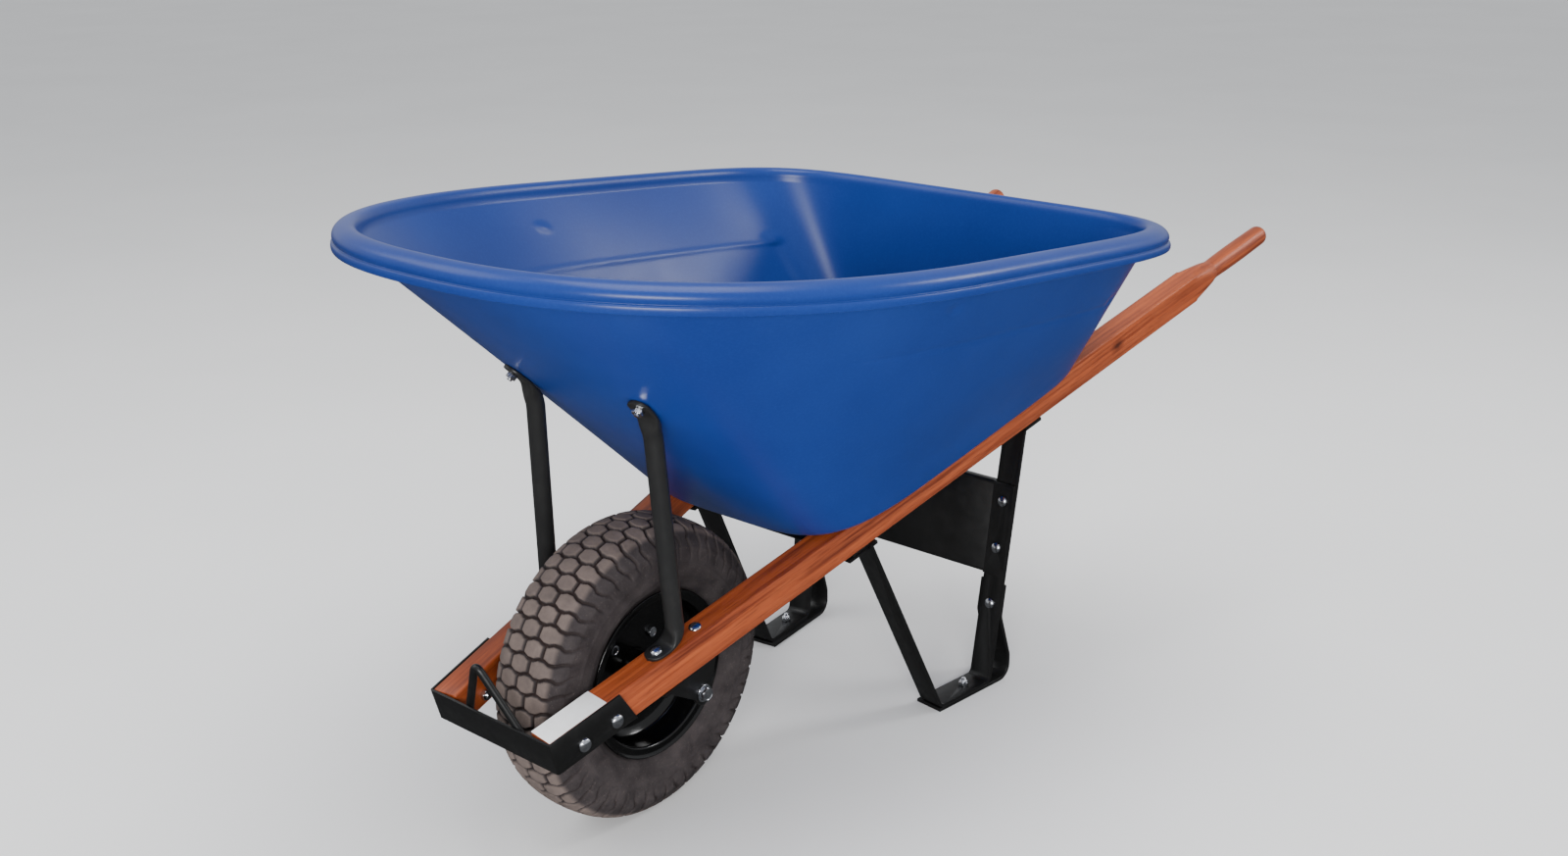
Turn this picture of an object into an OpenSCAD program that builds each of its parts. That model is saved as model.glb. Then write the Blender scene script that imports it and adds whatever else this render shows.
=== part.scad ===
// Contractor's wheelbarrow: plastic tray on two timber handles, steel legs,
// braces and nose guard, and one pneumatic wheel turning on a fixed axle.
// Millimetres. +Z is up, the nose points to -Y and the grips to +Y, so the
// left side, seen by the person pushing it, is +X. Everything is laid out
// from the axle and moved at the end to put the origin under the middle.

/* [Wheel] */
// Tyre outside diameter
tyre_d = 402; // [396:1:406]
// Tyre width over the sidewalls
tyre_w = 116; // [112:1:120]
// Rim diameter over the flanges
rim_d = 228; // [226:1:230]
// Rim width over the flanges
rim_w = 101; // [99:1:103]
// Axle diameter
axle_d = 15.88; // [15.8:0.02:15.96]

/* [Handles] */
// Length of each timber handle
handle_l = 1524; // [1480:1:1560]
// Width of the square part
handle_w = 38; // [36:1:40]
// Height of the square part
handle_h = 45; // [43:1:46]
// Rise of the handles towards the grips, degrees
deck_pitch = 14.3; // [14:0.1:14.6]
// Spread of each handle, degrees in the plane of the handles
handle_yaw = 6.56; // [6.4:0.02:6.7]
// Grip diameter at its thickest
grip_d = 34; // [31:1:36]

/* [Tray] */
// Width over the rolled rim
tray_w = 816; // [790:1:840]
// Length over the rolled rim
tray_l = 1064; // [1040:1:1090]
// Thickness of the moulded sheet
tray_t = 5; // [4:0.5:6]
// Height of the rim's widest line, halfway along
rim_z = 727.5; // [715:0.5:740]
// Fall of the rim towards the back, degrees
rim_fall = 5.54; // [4.5:0.02:6.5]

/* [Steelwork] */
// Width of the leg straps
strap_w = 38; // [36:1:40]
// Thickness of the leg straps
strap_t = 5; // [4:0.5:6]
// Brace tube diameter
tube_d = 24; // [20:1:26]

/* [Hidden] */
$fn = 48;
LEFT = 1;
RIGHT = -1;

// Where the handles cross the plane of the axle
axle_z = tyre_d / 2;
deck_z = 265.2;
deck_x = 114.8;
front_s = -237;
end_s = front_s + handle_l;
square_s = end_s - 215;
neck_s = end_s - 146;
half_h = handle_h / 2;
half_w = handle_w / 2;
plan_yaw = atan(tan(handle_yaw) / cos(deck_pitch));
leg_k = tan(plan_yaw);

// Running and clearance gaps
bolt_gap = 0.2;
hair = 0.3;

// Colours
blue = [0.10, 0.27, 0.58];
timber = [0.63, 0.33, 0.18];
black = [0.07, 0.07, 0.07];
zinc = [0.75, 0.76, 0.78];
rubber = [0.20, 0.19, 0.18];

// ---------------------------------------------------------------- frames

// Deck frame: origin above the axle, X across, Y up the slope, Z square to it
module deck() translate([0, 0, deck_z]) rotate([deck_pitch, 0, 0]) children();

// The same side's pieces are drawn for the left and mirrored for the right
module side(s) mirror([s < 0 ? 1 : 0, 0, 0]) children();

// Handle frame: Y along the handle's centre line, Z square to its top
module handle_frame(s)
  side(s) deck() translate([deck_x, 0, 0]) rotate([0, 0, -handle_yaw]) children();

// Leg frame: upright, with Y along the handle's line in plan
module leg_frame(s)
  side(s) translate([deck_x, 0, 0]) rotate([0, 0, -plan_yaw]) children();

// Turns a shape drawn in (Y, Z) into a strap of the given width along X
module across(w) rotate([90, 0, 90]) translate([0, 0, -w / 2])
  linear_extrude(w) children();

function deck_point(x, y, v) = [
  x,
  y * cos(deck_pitch) - v * sin(deck_pitch),
  deck_z + y * sin(deck_pitch) + v * cos(deck_pitch)
];

// ------------------------------------------------------------ bent strips

function unit(v) = v / norm(v);
function corner(a, b, c, r, n) =
  let (u = unit(a - b), w = unit(c - b), half = acos(u * w) / 2,
       start = b + u * r / tan(half), stop = b + w * r / tan(half),
       o = b + unit(u + w) * r / sin(half),
       a0 = atan2(start.y - o.y, start.x - o.x),
       a1 = atan2(stop.y - o.y, stop.x - o.x),
       turn = (a1 - a0 + 540) % 360 - 180)
  [for (i = [0:n]) o + r * [cos(a0 + turn * i / n), sin(a0 + turn * i / n)]];

// A path with its inner corners rounded to radius r
function bent(p, r, n = 6) = [
  p[0],
  for (i = [1:len(p) - 2]) each corner(p[i - 1], p[i], p[i + 1], r, n),
  p[len(p) - 1]
];

function side_of(p, i, d) =
  let (a = unit(p[min(i + 1, len(p) - 1)] - p[max(i - 1, 0)]))
  p[i] + d * [-a.y, a.x];

// Outline of a strip of thickness t along a path
function strip(p, t) = concat(
  [for (i = [0:len(p) - 1]) side_of(p, i, t / 2)],
  [for (i = [len(p) - 1:-1:0]) side_of(p, i, -t / 2)]
);

// -------------------------------------------------------------- fasteners

module hex(across_flats, h) cylinder(r = across_flats / sqrt(3), h = h, $fn = 6);

// Hex bolt: underside of the head at 0, shank downwards
module hex_bolt(r, l, flats, h) {
  hex(flats, h);
  translate([0, 0, -l]) cylinder(r = r, h = l + 1);
}

// Carriage bolt: domed head above 0, shank downwards
module dome_bolt(r, l, head_r, h) {
  rotate_extrude() polygon(concat(
    [[0, 0]], [for (a = [0:15:90]) [head_r * cos(a), h * sin(a)]]));
  translate([0, 0, -l]) cylinder(r = r, h = l + 1);
}

// Nut with its top face at 0, threaded over the shank
module nut(r, flats, h) translate([0, 0, -h]) difference() {
  hex(flats, h);
  translate([0, 0, -1]) cylinder(r = r + 0.05, h = h + 2);
}

module washer(r, hole_r, t) difference() {
  cylinder(r = r, h = t);
  translate([0, 0, -1]) cylinder(r = hole_r, h = t + 2);
}

// Straight drilled hole through everything, along Z
module drill(r) translate([0, 0, -200]) cylinder(r = r, h = 400);

// ----------------------------------------------------------------- tray

tray_n = 64;
tray_mid = 243;
floor_y = 484;
floor_l = 276;
floor_w = 213;
floor_spread = 26;
bend_run = 16;
lip_in = 27;
rim_k = -tan(rim_fall);

// Unit outline by direction: full at the back, rounder at the front
function squircle(a, n) =
  pow(pow(abs(cos(a)), n) + pow(abs(sin(a)), n), -1 / n) * [cos(a), sin(a)];

// Point of the rim at direction a, moved in by d and up by h
function rim_point(a, d, h) =
  let (u = squircle(a, sin(a) < 0 ? 2.4 : 6))
  [ (tray_w / 2 - d) * u.x,
    tray_mid + (tray_l / 2 - d) * u.y,
    rim_z + h + rim_k * (tray_l / 2 - d) * u.y ];

// Point of the floor's edge at direction a, moved in by d, v above the deck
function floor_point(a, d, v) =
  let (u = squircle(a, sin(a) < 0 ? 4.6 : 8))
  deck_point((floor_w + floor_spread * u.y - d) * u.x, floor_y + (floor_l - d) * u.y, v);

// Sheet side: 0 is the outer face, 1 the inner face
function wall_point(a, f, inner) =
  let (low = floor_point(a, inner * tray_t * 0.6, half_h + inner * tray_t),
       top = rim_point(a, lip_in + inner * tray_t, -4 + inner * 6))
  low + (top - low) * f;

// The floor turns into the wall along a quarter bend
function bend_point(a, f, inner) =
  let (p0 = floor_point(a, bend_run, half_h + inner * tray_t),
       p1 = wall_point(a, 0, inner),
       p2 = wall_point(a, bend_run / 560, inner))
  p0 * (1 - f) * (1 - f) + p1 * 2 * f * (1 - f) + p2 * f * f;

// Section of the rolled rim as [inset, height] from its lower outer edge
lip = [[26, 5], [22, 12], [15, 14], [9.5, 10], [7, 2], [6, -5], [5, -9], [3, -10.5], [1.2, -9],
       [0.9, -6.5], [2.2, -4.2], [0.6, -2], [0, 1.5], [0.8, 7], [3.5, 13], [8.5, 18.5],
       [15, 21.5], [22, 22.3], [27.5, 20], [30.5, 14], [31.5, 9]];

function ring(f) = [for (i = [0:tray_n - 1]) f(i * 360 / tray_n)];

tray_rings = concat(
  [for (f = [0:0.2:1]) ring(function (a) bend_point(a, f, 0))],
  [for (f = [0.4, 0.7, 1]) ring(function (a) wall_point(a, f, 0))],
  [for (p = lip) ring(function (a) rim_point(a, p.x, p.y))],
  [for (f = [1, 0.7, 0.4]) ring(function (a) wall_point(a, f, 1))],
  [for (f = [1:-0.2:0]) ring(function (a) bend_point(a, f, 1))]
);

// Closed skin over a stack of rings with the same number of points
module skin(rings) {
  n = len(rings[0]);
  last = len(rings) - 1;
  bands = [
    for (k = [0:last - 1], i = [0:n - 1])
      let (j = (i + 1) % n, a = k * n + i, b = k * n + j)
      each [[a, a + n, b + n], [a, b + n, b]]
  ];
  ends = [[for (i = [0:n - 1]) i], [for (i = [n - 1:-1:0]) last * n + i]];
  polyhedron([for (r = rings) each r], concat(bands, ends), convexity = 8);
}

// Bolt positions along the handles, and the brace bolts on the front wall
tray_bolt_s = [283, 651];
brace_a = -69.7;
brace_f = 0.597;
brace_at = wall_point(brace_a, brace_f, 0);
brace_in = cross(
  wall_point(brace_a + 1, brace_f, 0) - wall_point(brace_a - 1, brace_f, 0),
  wall_point(brace_a, brace_f + 0.02, 0) - wall_point(brace_a, brace_f - 0.02, 0));
brace_n = unit(brace_in);

// Puts Z along the outward normal of the front wall at the brace bolt, and X down the wall
module on_front_wall(s) side(s) translate(brace_at)
  rotate([0, acos(brace_n.z), atan2(brace_n.y, brace_n.x)]) children();

module tray() color(blue) difference() {
  skin(tray_rings);
  for (s = [LEFT, RIGHT]) {
    for (y = tray_bolt_s) handle_frame(s) translate([0, y, 0]) drill(4 + bolt_gap);
    on_front_wall(s) translate([0, 0, -40]) cylinder(r = 4 + bolt_gap, h = 60);
  }
}

// --------------------------------------------------------------- handles

guard_bolt_s = [-196, -146];
guard_bolt_v = -8;
brace_bolt_s = -56;
bracket_bolt_s = 7;
neck_r = 14.5;
end_round = 5.5;

// Turned envelope: clears the square part, then shoulder, neck and grip
module turned_end() rotate([-90, 0, 0]) rotate_extrude($fn = 64)
  polygon(concat(
    [[0, front_s - 1], [40, front_s - 1], [40, square_s - 8],
     [half_h + 4, square_s], [neck_r + 4, square_s + 46], [neck_r, neck_s]],
    [for (f = [0.15:0.15:0.9])
      [neck_r + (grip_d / 2 - neck_r) * sin(180 * pow(f, 0.8)), neck_s + f * (end_s - neck_s)]],
    [for (a = [0:15:75]) 
      [neck_r * 0.62 + end_round * cos(a), end_s - end_round * (1 - sin(a))]],
    [[neck_r * 0.62, end_s], [0, end_s]]));

module handle(s) color(timber) handle_frame(s) difference() {
  intersection() {
    translate([-half_w, front_s, -half_h]) cube([handle_w, handle_l, handle_h]);
    turned_end();
  }
  for (y = concat(tray_bolt_s, [brace_bolt_s, bracket_bolt_s]))
    translate([0, y, 0]) drill(4 + bolt_gap);
  for (y = guard_bolt_s) translate([0, y, guard_bolt_v]) rotate([0, 90, 0])
    drill(4 + bolt_gap);
}

module left_handle() handle(LEFT);
module right_handle() handle(RIGHT);

label_l = 86;
module handle_label() color("white") handle_frame(LEFT)
  translate([-half_w + 0.5, front_s + 0.5, half_h]) cube([handle_w - 1, label_l, 0.3]);

// ------------------------------------------------------------ nose guard

guard_t = 3;
guard_top_s = -132;
guard_low_s = -118;

function handle_plan(u, s) = [
  deck_x + u * cos(handle_yaw) + s * sin(handle_yaw),
  s * cos(handle_yaw) - u * sin(handle_yaw)
];

module nose_guard() {
  u = half_w + guard_t / 2 + 0.1;
  front_y = handle_plan(half_w, front_s).y - guard_t / 2 - 0.2;
  s_front = (front_y + u * sin(handle_yaw)) / cos(handle_yaw);
  end = handle_plan(u, guard_low_s + 2);
  knee = handle_plan(u, s_front);
  path = bent([end, knee, [-knee.x, knee.y], [-end.x, end.y]], 1.7);
  color(black) difference() {
    deck() translate([0, 0, -half_h]) linear_extrude(handle_h) polygon(strip(path, guard_t));
    for (s = [LEFT, RIGHT]) handle_frame(s) {
      translate([half_w + 2, 0, 0]) across(20) polygon([
        [guard_top_s, half_h + 0.01], [guard_low_s, -half_h - 0.01],
        [guard_low_s + 90, -half_h - 40], [guard_low_s + 90, half_h + 40]]);
      for (y = guard_bolt_s) translate([0, y, guard_bolt_v]) rotate([0, 90, 0])
        drill(4 + bolt_gap);
    }
  }
}

tip_r = 5;
tip_foot_x = 57;
tip_foot_v = -4;
tip_top = 92;
// Two straight legs welded behind the guard, leaning to meet at the top
module tip_bar() {
  y = handle_plan(half_w, front_s).y + tip_r;
  top = [0, y, tip_top];
  leg = [tip_foot_x, y, tip_foot_v] - top;
  color(black) deck() {
    for (s = [LEFT, RIGHT]) side(s) translate(top) rotate(aim(leg))
      cylinder(r = tip_r, h = norm(leg));
    translate(top) sphere(r = tip_r + 0.2);
  }
}

// ------------------------------------------------------------ tray braces

foot_t = 5;
flat_w = 30;
top_run = 38;
tube_r = tube_d / 2;
// Centre of the tube's lower end, in the handle frame
tube_foot = [3, -24, half_h + 15];

module brace_flat(l_down, l_up) difference() {
  union() {
    cylinder(r = flat_w / 2, h = foot_t);
    translate([0, -flat_w / 2, 0]) cube([l_down, flat_w, foot_t]);
  }
  translate([0, 0, -1]) cylinder(r = 4 + bolt_gap, h = foot_t + 2);
}

// Rotation that turns Z to a direction
function aim(v) = [0, acos(v.z / norm(v)), atan2(v.y, v.x)];

function handle_point(u, s, v) =
  let (p = handle_plan(u, s)) deck_point(p.x, p.y, v);

brace_down = let (t = acos(brace_n.z), p = atan2(brace_n.y, brace_n.x))
  [cos(p) * cos(t), sin(p) * cos(t), -sin(t)];
brace_low = handle_point(tube_foot.x, tube_foot.y, tube_foot.z);
brace_high = brace_at + brace_down * (top_run + 10) + brace_n * (tube_r + 3);

module tray_brace(s) color(black) {
  side(s) {
    v = brace_high - brace_low;
    translate(brace_low) rotate(aim(v)) cylinder(r = tube_r, h = norm(v));
    hull() {
      translate(brace_high) rotate(aim(v)) translate([0, 0, -6])
        cylinder(r = tube_r - 0.6, h = 5, $fn = 32);
      translate(brace_at + brace_n * (hair + 0.6)) rotate(aim(brace_n))
        translate([top_run - 20, 1 - flat_w / 2, 0]) cube([3, flat_w - 2, foot_t - 1.2]);
    }
    hull() {
      translate(brace_low) rotate(aim(v)) translate([0, 0, 1])
        cylinder(r = tube_r - 0.6, h = 5, $fn = 32);
      deck() translate([deck_x, 0, 0]) rotate([0, 0, -handle_yaw])
        translate([1 - flat_w / 2, brace_bolt_s + 10, half_h + 0.6])
        cube([flat_w - 2, 3, foot_t - 1.2]);
    }
  }
  on_front_wall(s) translate([0, 0, hair]) brace_flat(top_run - 13, 0);
  handle_frame(s) translate([0, brace_bolt_s, half_h]) rotate([0, 0, 90]) brace_flat(16, 0);
}

module left_tray_brace() tray_brace(LEFT);
module right_tray_brace() tray_brace(RIGHT);

// ------------------------------------------------------------------ axle

arm_x = 124;
arm_t = 4;
arm_r = 16;
axle_in_deck = [(axle_z - deck_z) * sin(deck_pitch), (axle_z - deck_z) * cos(deck_pitch)];
washer_t = 2;
axle_r = axle_d / 2;
end_bolt_r = 5;

module axle_bracket(s) color(black) side(s) deck() difference() {
  union() {
    translate([arm_x + arm_t - 36, brace_bolt_s - 18, -half_h - arm_t])
      cube([36, bracket_bolt_s - brace_bolt_s + 36, arm_t]);
    translate([arm_x + arm_t / 2, 0, 0]) across(arm_t) {
      translate(axle_in_deck) circle(r = arm_r);
      polygon([
        [axle_in_deck.x - arm_r, axle_in_deck.y], [brace_bolt_s - 14, -half_h],
        [bracket_bolt_s + 14, -half_h], [axle_in_deck.x + arm_r, axle_in_deck.y]]);
    }
  }
  for (y = [brace_bolt_s, bracket_bolt_s]) translate([deck_x, 0, 0]) rotate([0, 0, -handle_yaw])
    translate([0, y, 0]) drill(4 + bolt_gap);
  translate([arm_x, axle_in_deck.x, axle_in_deck.y]) rotate([0, 90, 0])
    drill(end_bolt_r + bolt_gap);
}

module left_axle_bracket() axle_bracket(LEFT);
module right_axle_bracket() axle_bracket(RIGHT);

// Turns Z to +X at the axle
module on_axle() translate([0, 0, axle_z]) rotate([0, 90, 0]) children();

module axle() color(zinc) on_axle() difference() {
  translate([0, 0, -arm_x]) cylinder(r = axle_r, h = 2 * arm_x);
  for (s = [LEFT, RIGHT]) mirror([0, 0, s < 0 ? 1 : 0])
    translate([0, 0, arm_x - 30]) cylinder(r = end_bolt_r + bolt_gap, h = 31);
}

hub_x = 46;
bearing_out = hub_x + 2;
module axle_spacer(s) color(zinc) side(s) on_axle()
  translate([0, 0, bearing_out + hair]) washer(11, axle_r + 0.1, arm_x - bearing_out - hair);

module left_axle_spacer() axle_spacer(LEFT);
module right_axle_spacer() axle_spacer(RIGHT);

module axle_end_bolts() color(zinc) for (s = [LEFT, RIGHT]) side(s) on_axle()
  translate([0, 0, arm_x + arm_t + washer_t]) hex_bolt(end_bolt_r, 32, 17, 6.5);

module axle_end_washers() color(zinc) for (s = [LEFT, RIGHT]) side(s) on_axle()
  translate([0, 0, arm_x + arm_t]) washer(11.5, end_bolt_r + bolt_gap, washer_t);

// ------------------------------------------------------------------ legs

strap_front_t = 3;
front_flange_s = [257, 312];
rear_flange_s = [632, 668];
shoe_t = 5;
shoe_w = 46;
foot_z = shoe_t + strap_t / 2;
leg_low_front = [441, foot_z];
leg_low_back = [549, foot_z];
leg_top_front = [295, 313];
leg_top_back = [613, 394];
// The path is drawn in the leg's own plane, which is turned from the Y axis
function in_leg(p) = [p.x / cos(plan_yaw), p.y];
leg_path = [for (p = [leg_top_front, leg_low_front, leg_low_back, leg_top_back]) in_leg(p)];
// Height of the bolts up the back strut: shoe, then the cross plate's two
shoe_bolt_z = 126;
plate_bolt_z = [213, 284];
foot_bolt_y = 514;
function upright_y(z) = leg_low_back.x
  + (z - foot_z) * (leg_top_back.x - leg_low_back.x) / (leg_top_back.y - foot_z);
upright_lean = atan((leg_path[3].x - leg_path[2].x) / (leg_path[3].y - leg_path[2].y));

// Frame of a bolt through the upright: Z points forwards, square to the strap
module on_upright(s, z) leg_frame(s) translate([0, upright_y(z) / cos(plan_yaw), z])
  rotate([-upright_lean, 0, 0]) rotate([90, 0, 0]) children();

module leg(s) color(black) difference() {
  union() {
    leg_frame(s) across(strap_w) polygon(strip(bent(leg_path, 12), strap_t));
    handle_frame(s) {
      translate([-strap_w / 2, front_flange_s[0], -half_h - strap_front_t - strap_t])
        cube([strap_w, front_flange_s[1] - front_flange_s[0], strap_t]);
      translate([-strap_w / 2, rear_flange_s[0], -half_h - strap_t])
        cube([strap_w, rear_flange_s[1] - rear_flange_s[0], strap_t]);
    }
  }
  // The two struts stop short of the timber and the cross strap
  handle_frame(s) {
    translate([-40, 200, -half_h - strap_front_t]) cube([80, 200, 60]);
    translate([-40, 580, -half_h]) cube([80, 200, 60]);
    for (y = tray_bolt_s) translate([0, y, 0]) drill(4 + bolt_gap);
  }
  for (z = concat([shoe_bolt_z], plate_bolt_z)) on_upright(s, z)
    translate([0, 0, -15]) cylinder(r = 4 + bolt_gap, h = 30);
  leg_frame(s) translate([0, foot_bolt_y, 0]) cylinder(r = 4 + bolt_gap, h = 30);
}

module left_leg() leg(LEFT);
module right_leg() leg(RIGHT);

// Skid: down the back of the upright, out into a heel and forward under the foot
heel_y = 592;
module leg_shoe(s) {
  gap = (strap_t + shoe_t) / 2 + hair;
  high = [upright_y(158) + gap, 158];
  leave = [upright_y(108) + gap, 108];
  path = [for (p = [high, leave, [heel_y, 38], [heel_y, shoe_t / 2],
                    [438, shoe_t / 2]]) in_leg(p)];
  color(black) difference() {
    leg_frame(s) translate([(strap_w - shoe_w) / 2, 0, 0]) across(shoe_w)
      polygon(strip(bent(path, 20), shoe_t));
    on_upright(s, shoe_bolt_z) translate([0, 0, -20]) cylinder(r = 4 + bolt_gap, h = 30);
    leg_frame(s) translate([0, foot_bolt_y, -1]) cylinder(r = 4 + bolt_gap, h = 30);
    leg_frame(s) translate([0, foot_bolt_y, -1]) cylinder(r = 9, h = 3.5);
  }
}

module left_leg_shoe() leg_shoe(LEFT);
module right_leg_shoe() leg_shoe(RIGHT);

plate_t = 3;
plate_low = 171;
plate_high = 312;
plate_flange = 14;
// Pressed plate across the fronts of the two uprights, with its ends bent to meet them
module leg_cross_plate() {
  mid = (plate_low + plate_high) / 2;
  lean = atan((leg_top_back.x - leg_low_back.x) / (leg_top_back.y - foot_z));
  leg_x = deck_x + leg_k * upright_y(mid);
  reach = strap_w / 2;
  face_y = upright_y(mid) - strap_t / 2 - plate_t - hair;
  tall = (plate_high - plate_low) / cos(lean);
  panel_y = face_y + (reach + 1) * leg_k;
  inner_x = leg_x - reach - 2;
  color(black) difference() {
    union() {
      translate([0, panel_y, mid]) rotate([-lean, 0, 0]) {
        across(2 * inner_x + 2) polygon(strip(bent([
          [plate_flange, -tall / 2 + plate_t / 2], [plate_t / 2, -tall / 2 + plate_t / 2],
          [plate_t / 2, tall / 2 - plate_t / 2], [plate_flange, tall / 2 - plate_t / 2]], 4),
          plate_t));
      }
      for (s = [LEFT, RIGHT]) side(s) translate([leg_x, face_y, mid])
        rotate([-lean, 0, 0]) rotate([0, 0, -plan_yaw])
        translate([-reach - 2.5, 0, -tall / 2]) cube([2 * reach + 1, plate_t, tall]);
    }
    for (s = [LEFT, RIGHT], z = plate_bolt_z) on_upright(s, z)
      translate([0, 0, -15]) cylinder(r = 4 + bolt_gap, h = 40);
  }
}

module front_cross_strap() {
  y0 = 261;
  reach = deck_x + y0 * tan(handle_yaw) + strap_w / 2;
  color(black) difference() {
    deck() translate([-reach, y0, -half_h - strap_front_t]) cube([2 * reach, 38, strap_front_t]);
    for (s = [LEFT, RIGHT]) handle_frame(s) translate([0, tray_bolt_s[0], 0])
      drill(4 + bolt_gap);
  }
}

// -------------------------------------------------------- chassis fasteners

module guard_bolts() color(zinc) for (s = [LEFT, RIGHT], y = guard_bolt_s) handle_frame(s)
  translate([half_w + guard_t + 0.15, y, guard_bolt_v]) rotate([0, 90, 0])
  dome_bolt(4, handle_w + 12, 9, 5);

module guard_nuts() color(zinc) for (s = [LEFT, RIGHT], y = guard_bolt_s) handle_frame(s)
  translate([-half_w, y, guard_bolt_v]) rotate([0, 90, 0]) nut(4, 13, 6.5);

module brace_foot_bolts() color(zinc) for (s = [LEFT, RIGHT]) handle_frame(s)
  translate([0, brace_bolt_s, half_h + foot_t]) dome_bolt(4, handle_h + foot_t + arm_t + 9, 8.5, 4.5);

module brace_foot_nuts() color(zinc) for (s = [LEFT, RIGHT]) handle_frame(s)
  translate([0, brace_bolt_s, -half_h - arm_t]) nut(4, 13, 6.5);

module bracket_bolts() color(zinc) for (s = [LEFT, RIGHT]) handle_frame(s)
  translate([0, bracket_bolt_s, half_h]) dome_bolt(4, handle_h + arm_t + 9, 8.5, 3.5);

module bracket_nuts() color(zinc) for (s = [LEFT, RIGHT]) handle_frame(s)
  translate([0, bracket_bolt_s, -half_h - arm_t]) nut(4, 13, 6.5);

module brace_top_bolts() color(zinc) for (s = [LEFT, RIGHT]) on_front_wall(s)
  translate([0, 0, -tray_t - 2.5]) rotate([180, 0, 0]) dome_bolt(4, tray_t + foot_t + 12, 11, 4.5);

module brace_top_nuts() color(zinc) for (s = [LEFT, RIGHT]) on_front_wall(s)
  translate([0, 0, foot_t + hair]) rotate([180, 0, 0]) nut(4, 13, 6.5);

tray_washer_t = 1.6;
module tray_bolts() color(zinc) for (s = [LEFT, RIGHT], i = [0, 1]) handle_frame(s)
  translate([0, tray_bolt_s[i], half_h + tray_t + tray_washer_t])
  dome_bolt(4, handle_h + tray_t + tray_washer_t + strap_t + (i == 0 ? strap_front_t : 0) + 9, 9, 4.5);

module tray_bolt_washers() color(zinc) for (s = [LEFT, RIGHT], y = tray_bolt_s) handle_frame(s)
  translate([0, y, half_h + tray_t]) washer(12, 4 + bolt_gap, tray_washer_t);

module tray_bolt_nuts() color(zinc) for (s = [LEFT, RIGHT], i = [0, 1]) handle_frame(s)
  translate([0, tray_bolt_s[i], -half_h - strap_t - (i == 0 ? strap_front_t : 0)])
  nut(4, 13, 6.5);

plate_face = strap_t / 2 + hair + plate_t;
module plate_bolts() color(zinc) for (s = [LEFT, RIGHT], z = plate_bolt_z) on_upright(s, z)
  translate([0, 0, plate_face + 0.3]) dome_bolt(4, plate_face + strap_t / 2 + 9, 8.5, 5);

module plate_nuts() color(zinc) for (s = [LEFT, RIGHT], z = plate_bolt_z) on_upright(s, z)
  translate([0, 0, -strap_t / 2]) nut(4, 13, 6.5);

module shoe_bolts() color(zinc) for (s = [LEFT, RIGHT]) {
  on_upright(s, shoe_bolt_z) translate([0, 0, strap_t / 2]) dome_bolt(4, strap_t + shoe_t + 9, 8.5, 5);
  leg_frame(s) translate([0, foot_bolt_y, 2.4]) rotate([180, 0, 0]) dome_bolt(4, 20, 8, 1.6);
}

module shoe_nuts() color(zinc) for (s = [LEFT, RIGHT]) {
  on_upright(s, shoe_bolt_z) translate([0, 0, -strap_t / 2 - shoe_t - hair]) nut(4, 13, 6.5);
  leg_frame(s) translate([0, foot_bolt_y, foot_z + strap_t / 2 + 6.5]) nut(4, 13, 6.5);
}

// ----------------------------------------------------------------- wheel

// Turns a profile drawn as [x, r] about the axle
module spun(s = LEFT) side(s) on_axle() rotate_extrude($fn = 96) rotate([0, 0, 90])
  mirror([0, 1, 0]) children();

tyre_r = tyre_d / 2;
tyre_half = tyre_w / 2;
rim_r = rim_d / 2;
rim_half = rim_w / 2;
seat_r = rim_r - 13;
bead_x = rim_half - 5.6;

// Half section of the carcass, from the bead up the sidewall to the crown
tyre_outer = [[bead_x - 11, seat_r + 0.1], [bead_x - 2.5, seat_r + 0.1], [bead_x, seat_r + 2.8],
  [bead_x, rim_r - 2],
  [bead_x + 5.5, rim_r + 3.5], [tyre_half - 2, rim_r + 14], [tyre_half, rim_r + 27],
  [tyre_half, rim_r + 40], [tyre_half - 2, rim_r + 57], [tyre_half - 8, tyre_r - 18],
  [tyre_half - 15, tyre_r - 9], [tyre_half - 26, tyre_r - 3.5], [tyre_half - 42, tyre_r - 0.8],
  [0, tyre_r]];
tyre_inner = [[0, tyre_r - 13], [24, tyre_r - 15], [38, tyre_r - 24],
  [tyre_half - 11, rim_r + 50], [tyre_half - 9, rim_r + 33], [tyre_half - 11, rim_r + 17],
  [bead_x - 6, rim_r + 2], [bead_x - 10, rim_r - 8]];

function mirrored(p) = [for (i = [len(p) - 1:-1:0]) [-p[i].x, p[i].y]];

module tyre() color(rubber) spun() polygon(concat(
  tyre_outer, mirrored([for (i = [0:len(tyre_outer) - 2]) tyre_outer[i]]),
  mirrored([for (i = [1:len(tyre_inner) - 1]) tyre_inner[i]]), tyre_inner));

tube_gap = 0.6;
module inner_tube() {
  half = [[0, tyre_r - 13 - tube_gap], [24, tyre_r - 15 - tube_gap], [37.4, tyre_r - 24.6],
    [tyre_half - 11.7, rim_r + 50], [tyre_half - 9.7, rim_r + 33], [tyre_half - 11.8, rim_r + 17.4],
    [bead_x - 7, rim_r + 2], [bead_x - 12, seat_r + 0.4], [17, seat_r + 0.4], [0, seat_r - 0.8]];
  outline = concat(half, mirrored([for (i = [1:len(half) - 2]) half[i]]));
  core = [0, rim_r + 30];
  color(rubber) spun() difference() {
    polygon(outline);
    polygon([for (p = outline) core + (p - core) * 0.94]);
  }
}

hub_r = 22;
sheet = 2.2;
disc_r = 66;
rim_bolt_r = 48;
rim_bolts_n = 4;

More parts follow.
